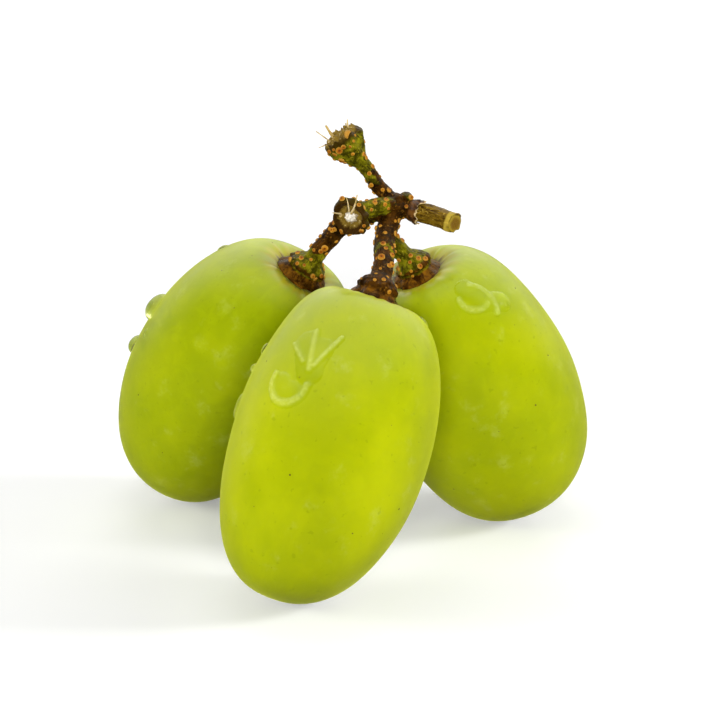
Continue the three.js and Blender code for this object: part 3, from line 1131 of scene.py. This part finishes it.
pore = speck_material()
for seed, side in enumerate(GRAPES, 11):
    surface = grape_pieces[side]
    store(surface, "mark_share", [1.0] * len(surface.data.vertices))
    specks = set_marks(f"specks_{side}", surface, [], speck_shape, pore, **{
        "Least distance": 2.2 * MM, "Density": 0.02e6, "Smallest": 0.035 * MM, "Largest": 0.1 * MM,
        "Crumple": 0.02 * MM, "Seed": seed})
    finish_piece(specks, "grape_skin", pore)

# %% [markdown]
# ## Water
#
# The bunch was rinsed, and round drops and thin puddles of water stay on the waxy skin. A drop is a cap of
# glass that follows the skin under it. A puddle is drawn with a few soft strokes: the water is as high as
# the strokes say, and where they say nothing the sheet dips just under the skin, so its edge is the line
# where water meets skin. The ridges of a puddle and the lower side of a drop are painted paler and glow:
# painted light. Elsewhere the water's green-yellow tint darkens the skin under it: painted shade.


# %% Water material
def water_material():
    material, tree, shader = new_material("water")
    painted_glint = attribute(tree, "painted_glint")
    patches = remap(tree, noise_at(tree, object_place(tree), 2800, 4, 0.7), 0.40, 0.60, 0.35, 1.0)
    # Along ridges and drop sides the water is painted paler and given a glow: painted light. Elsewhere its
    # green-yellow tint darkens the skin under it: painted shade.
    tint = blend_colour(tree, painted_glint, (0.79, 0.84, 0.12), (0.96, 0.98, 0.72))
    glow = blend_colour(tree, maths(tree, "MULTIPLY", painted_glint, patches), (0, 0, 0), (0.12, 0.118, 0.075))
    finish_shader(tree, shader, tint, 0.03, None, **{
        "IOR": 1.33, "Transmission Weight": 1.0, "Emission Color": glow, "Emission Strength": 1.0})
    clear = add(tree, "ShaderNodeBsdfTransparent").outputs[0]
    rays = add(tree, "ShaderNodeLightPath").outputs
    glass = shader.outputs[0]
    for kind in ("Is Diffuse Ray", "Is Shadow Ray"):  # light for the skin below passes straight through
        glass = add(tree, "ShaderNodeMixShader", {0: rays[kind], 1: glass, 2: clear}).outputs[0]
    plug(tree, tree.nodes["Material Output"].inputs["Surface"], glass)
    return material


water = water_material()


# %% Drops
def water_drop(grape, along, turn, half_long, half_wide, height, rings=9, sides=28):
    """A closed cap of water on a grape's skin."""
    tree = grape["tree"]
    middle, normal = on_grape(grape, along, turn)
    long_way = normal.cross(TO_VIEWER)
    if long_way.length < 0.5:
        long_way = normal.cross(VIEW_RIGHT)
    long_way.normalize()
    wide_way = normal.cross(long_way).normalized()
    tops, feet, glow = [], [], []
    for ring in range(rings + 1):
        share = math.sin(math.pi / 2 * ring / rings)
        for side in range(sides if ring else 1):
            angle = side * 2 * math.pi / sides
            out = (long_way * (half_long * share * math.cos(angle))
                   + wide_way * (half_wide * share * math.sin(angle)))
            foot, foot_normal, _, _ = tree.find_nearest(middle + out)
            sag = 1 + 0.12 * math.cos(angle) * share * (1 if long_way.z < 0 else -1)
            rise = height * math.sqrt(max(0.0, 1 - share ** 2)) * sag
            tops.append(foot + normal * rise - foot_normal * 0.03)
            feet.append(foot - foot_normal * 0.12)
            # painted glow, faint all over the drop and strongest on its lower side: painted light
            lower = max(0.0, -out.normalized().z) if ring else 0.0
            glow.append(min(1.0, 0.35 + 1.6 * lower * math.exp(-((share - 0.62) / 0.22) ** 2)))
    count = len(tops)
    faces = []
    for side in range(sides):
        after = (side + 1) % sides
        faces.append((0, 1 + side, 1 + after))
        faces.append((count, count + 1 + after, count + 1 + side))
        for ring in range(1, rings):
            low, high = 1 + (ring - 1) * sides, 1 + ring * sides
            faces.append((low + side, high + side, high + after, low + after))
            faces.append((count + low + after, count + high + after, count + high + side, count + low + side))
        top = 1 + (rings - 1) * sides
        faces.append((top + side, count + top + side, count + top + after, top + after))
    return tops + feet, faces, glow * 2


# along the grape, degrees round it from the front, then half length, half width and height in mm
DROPS = {
    "left": [
        (0.1, -88, 1.4, 1.15, 0.85), (-0.25, -92, 0.9, 0.8, 0.6), (-0.65, -95, 0.7, 0.65, 0.4),
        (-0.85, -100, 0.5, 0.5, 0.22), (0.0, -70, 0.5, 0.3, 0.26), (0.75, 15, 0.46, 0.42, 0.36),
    ],
    "front": [(0.3, -82, 0.42, 0.35, 0.3), (0.05, -84, 1.2, 0.55, 0.32)],
}


# %% Puddles
def arm(bearing, start, end):
    """A straight stroke out from the puddle's middle; bearings are degrees clockwise from up."""
    way = np.array((math.sin(math.radians(bearing)), math.cos(math.radians(bearing))))
    return way * np.linspace(start, end, 40)[:, None]


def bow(right, up, radius, first, last):
    """A curved stroke round a point of the puddle, from one bearing to another."""
    bearings = np.radians(np.linspace(first, last, 60))
    return np.stack([right + radius * np.sin(bearings), up + radius * np.cos(bearings)], axis=1)


def puddle(grape, along, turn, sheet, ridges, step=0.11):
    """A thin closed sheet of water with ridges; each stroke is a half width, a height and its points."""
    middle, facing_out = on_grape(grape, along, turn)
    across = (VIEW_RIGHT - facing_out * VIEW_RIGHT.dot(facing_out)).normalized()
    upward = facing_out.cross(across)
    lines = sheet + ridges
    # the ridges carry a painted glow, narrower than the ridges: painted light
    bright = [(0.55 * width, line) for width, _, line in ridges]
    reach = max(width for width, _, _ in lines)
    everything = np.concatenate([line for _, _, line in lines])
    low, high = everything.min(axis=0) - reach - step, everything.max(axis=0) + reach + step
    columns, rows = (int((high[axis] - low[axis]) / step) + 1 for axis in (0, 1))
    grid = np.stack(np.meshgrid(low[0] + step * np.arange(columns), low[1] + step * np.arange(rows)), axis=-1)
    spots = grid.reshape(-1, 2)

    def away(line):
        return np.linalg.norm(spots[:, None] - line[None], axis=2).min(axis=1)

    heights = sum((height * np.sqrt(np.clip(1 - (away(line) / width) ** 2, 0, 1))) ** 4
                  for width, height, line in lines) ** 0.25
    # painted light: how strongly each point of the sheet glows
    glow = np.clip(sum(np.exp(-((away(line) / width) ** 4)) for width, line in bright), 0, 1)
    wet = heights > 0
    wet_grid = wet.reshape(rows, columns)
    squares = {(row, column) for row in range(rows - 1) for column in range(columns - 1)
               if wet_grid[row:row + 2, column:column + 2].any()}
    for row, column in sorted(squares):  # squares that touch only at a corner get a third one between them
        for side in (-1, 1):
            between = {(row, column + side), (row + 1, column)}
            if (row + 1, column + side) in squares and not squares & between:
                squares.add((row + 1, column))
    cells = [(row * columns + column, row * columns + column + 1,
              (row + 1) * columns + column + 1, (row + 1) * columns + column)
             for row, column in sorted(squares)]
    used = sorted({corner for cell in cells for corner in cell})
    number = {corner: index for index, corner in enumerate(used)}
    tops, feet = [], []
    for corner in used:
        spot = middle + across * float(spots[corner][0]) + upward * float(spots[corner][1])
        place, normal, _, _ = grape["tree"].find_nearest(spot)
        tops.append(place + normal * (heights[corner] if wet[corner] else -0.05))
        feet.append(place - normal * 0.12)
    count = len(used)
    faces, edges = [], set()
    for cell in cells:
        a, b, c, d = (number[corner] for corner in cell)
        faces += [(a, b, c, d), (count + d, count + c, count + b, count + a)]
        edges |= {(a, b), (b, c), (c, d), (d, a)}
    for a, b in edges:
        if (b, a) not in edges:
            faces.append((b, a, count + a, count + b))
    return tops + feet, sorted(faces), [float(glow[corner]) for corner in used] * 2


# where each puddle's middle is (along the grape, degrees round it), its flat sheet, and its ridges
PUDDLES = {
    "front": [(0.34, -22, [
        (1.3, 0.13, arm(-8, 0.0, 3.0)), (1.1, 0.12, arm(30, 0.3, 2.4)),
        (1.1, 0.14, bow(-2.2, -0.9, 0.8, 150, 300)),
    ], [
        (0.32, 0.3, arm(-28, 1.2, 3.4)), (0.42, 0.3, arm(8, 0.2, 3.9)), (0.34, 0.26, arm(44, 0.6, 4.2)),
        (0.45, 0.32, bow(-2.0, -0.7, 1.9, 110, 310)),
    ])],
    "right": [(0.7, 36, [
        (1.1, 0.2, arm(-60, 0.0, 2.0)), (1.0, 0.18, arm(80, 0.0, 2.2)),
    ], [
        (0.4, 0.26, bow(-1.0, 0.6, 1.6, 120, 240)), (0.4, 0.24, bow(-1.4, -1.6, 3.0, 0, 75)),
    ])],
}
for side, grape in GRAPES.items():
    wet_bodies = [water_drop(grape, *row) for row in DROPS.get(side, [])]
    wet_bodies += [puddle(grape, *row) for row in PUDDLES.get(side, [])]
    shapes = [(points, faces) for points, faces, _ in wet_bodies]
    # the painted glow of each body of water
    glow = [value for _, _, bright in wet_bodies for value in bright]
    if shapes:
        wet = joined(f"water_{side}", shapes)
        store(wet, "painted_glint", glow)
        finish_piece(wet, "water", water)
        print("water on the", side, "grape:", len(shapes), "bodies of water")

# %% Drops on the far sides
drop_shape = small_dome("drop_shape", [(0.95, -0.2), (1.0, 0.0), (0.95, 0.17), (0.8, 0.32), (0.55, 0.44),
                                       (0.25, 0.51)], 20)
for seed, (side, surface) in enumerate(grape_pieces.items(), 5):
    normals = np.empty(len(surface.data.vertices) * 3, dtype=np.float32)
    surface.data.vertices.foreach_get("normal", normals)
    away = normals.reshape(-1, 3) @ np.array(TO_VIEWER)
    surface.data.attributes.remove(surface.data.attributes["mark_share"])
    places = np.empty(len(surface.data.vertices) * 3, dtype=np.float32)
    surface.data.vertices.foreach_get("co", places)
    open_side = smoothstep(-0.05, -0.3, away) * smoothstep(6 * MM, 9 * MM, places[2::3])
    store(surface, "mark_share", open_side)
    drops = set_marks(f"drops_{side}", surface, [], drop_shape, water, **{
        "Least distance": 1.8 * MM, "Density": 0.045e6, "Smallest": 0.2 * MM, "Largest": 0.8 * MM,
        "Crumple": 0.0, "Seed": seed})
    # a faint painted glow on every far-side drop
    store(drops, "painted_glint", [0.35] * len(drops.data.vertices))
    finish_piece(drops, "water", water)
for shape in (wart_shape, speck_shape, drop_shape):
    bpy.data.objects.remove(shape)

# %% [markdown]
# ## Floor and light
#
# The bunch stands on a plain pale floor that glows a little more far away, so that it has no horizon. A
# broad front light shows the colours, two side lights and a back light shine into the edges of the grapes,
# and a weak one from above draws the faint shadows. None of them is mirrored in the skin.

# %% Floor
floor = make_piece("floor", [(-3000, -3000, 0), (3000, -3000, 0), (3000, 3000, 0), (-3000, 3000, 0)],
                   [(0, 1, 2, 3)])
floor_material, floor_tree, floor_shader = new_material("floor")
path = add(floor_tree, "ShaderNodeLightPath").outputs["Is Camera Ray"]
floor_tone = blend_colour(floor_tree, path, (0.14, 0.14, 0.14), (0.88, 0.88, 0.88))
finish_shader(floor_tree, floor_shader, floor_tone, 1.0)
floor_shader.inputs["Specular IOR Level"].default_value = 0.0
floor_shader.inputs["Emission Color"].default_value = (1, 1, 1, 1)
distance = add(floor_tree, "ShaderNodeVectorMath", {0: object_place(floor_tree)}, operation="LENGTH")
from_middle = distance.outputs["Value"]
glow = remap(floor_tree, from_middle, 0.12, 0.6, 0.18, 1.0)
plug(floor_tree, floor_shader.inputs["Emission Strength"], maths(floor_tree, "MULTIPLY", path, glow))
floor.data.materials.append(floor_material)


# %% Lights
def area_light(name, place, aim, size, watts, mirrored=True):
    data = bpy.data.lights.new(name, "AREA")
    data.shape = "RECTANGLE"
    data.size, data.size_y = size
    data.energy = watts
    lamp = bpy.data.objects.new(name, data)
    lamp.location = place
    lamp.rotation_euler = (Vector(aim) - Vector(place)).to_track_quat("-Z", "Y").to_euler()
    lamp.visible_glossy = mirrored
    bpy.context.scene.collection.objects.link(lamp)
    return lamp


area_light("top_light", (0.0, 0.25, 0.8), (0, 0, 0), (0.45, 0.3), 0.8, mirrored=False)
area_light("right_light", (0.9, 0.05, 0.34), (0, 0, 0.02), (0.25, 0.25), 7.0, mirrored=False)
area_light("left_light", (-0.9, 0.05, 0.22), (0, 0, 0.02), (0.4, 0.3), 5.4, mirrored=False)
area_light("front_light", (0.0, -1.0, 0.27), (0, 0, 0.02), (0.5, 0.3), 11.8, mirrored=False)
area_light("back_light", (0.1, 1.0, 0.3), (0, 0, 0.02), (0.5, 0.3), 4.0, mirrored=False)

# %% [markdown]
# What the skin mirrors is the room: a bright ceiling and back wall, and darkness round the viewer. The
# world gives reflections that room, gives the rest of the light evenly, and shows plain white behind.

# %% The room
world = bpy.data.worlds.new("studio")
bpy.context.scene.world = world
world.use_nodes = True
room = world.node_tree
sky = room.nodes["Background"]
sky.inputs["Color"].default_value = (1, 1, 1, 1)
rays = room.nodes.new("ShaderNodeLightPath").outputs
direction = room.nodes.new("ShaderNodeTexCoord").outputs["Generated"]


def towards(way, low, high, strength):
    """Light that grows as a direction turns towards the given one."""
    dot = add(room, "ShaderNodeVectorMath", {0: direction, 1: way}, operation="DOT_PRODUCT")
    return remap(room, dot.outputs["Value"], low, high, 0.0, strength)


ceiling = towards((0.1, 0.30, 0.95), 0.25, 0.95, 1.7)
back_wall = towards((0.0, 1.0, 0.0), 0.0, 0.8, 0.75)
mirrored = maths(room, "ADD", maths(room, "ADD", ceiling, back_wall), 0.03)
plain = maths(room, "ADD", maths(room, "MULTIPLY", rays["Is Camera Ray"], 0.74), 0.26)
seen = maths(room, "MULTIPLY", mirrored, rays["Is Glossy Ray"])
rest = maths(room, "MULTIPLY", plain, maths(room, "SUBTRACT", 1.0, rays["Is Glossy Ray"]))
room.links.new(maths(room, "ADD", seen, rest), sky.inputs["Strength"])
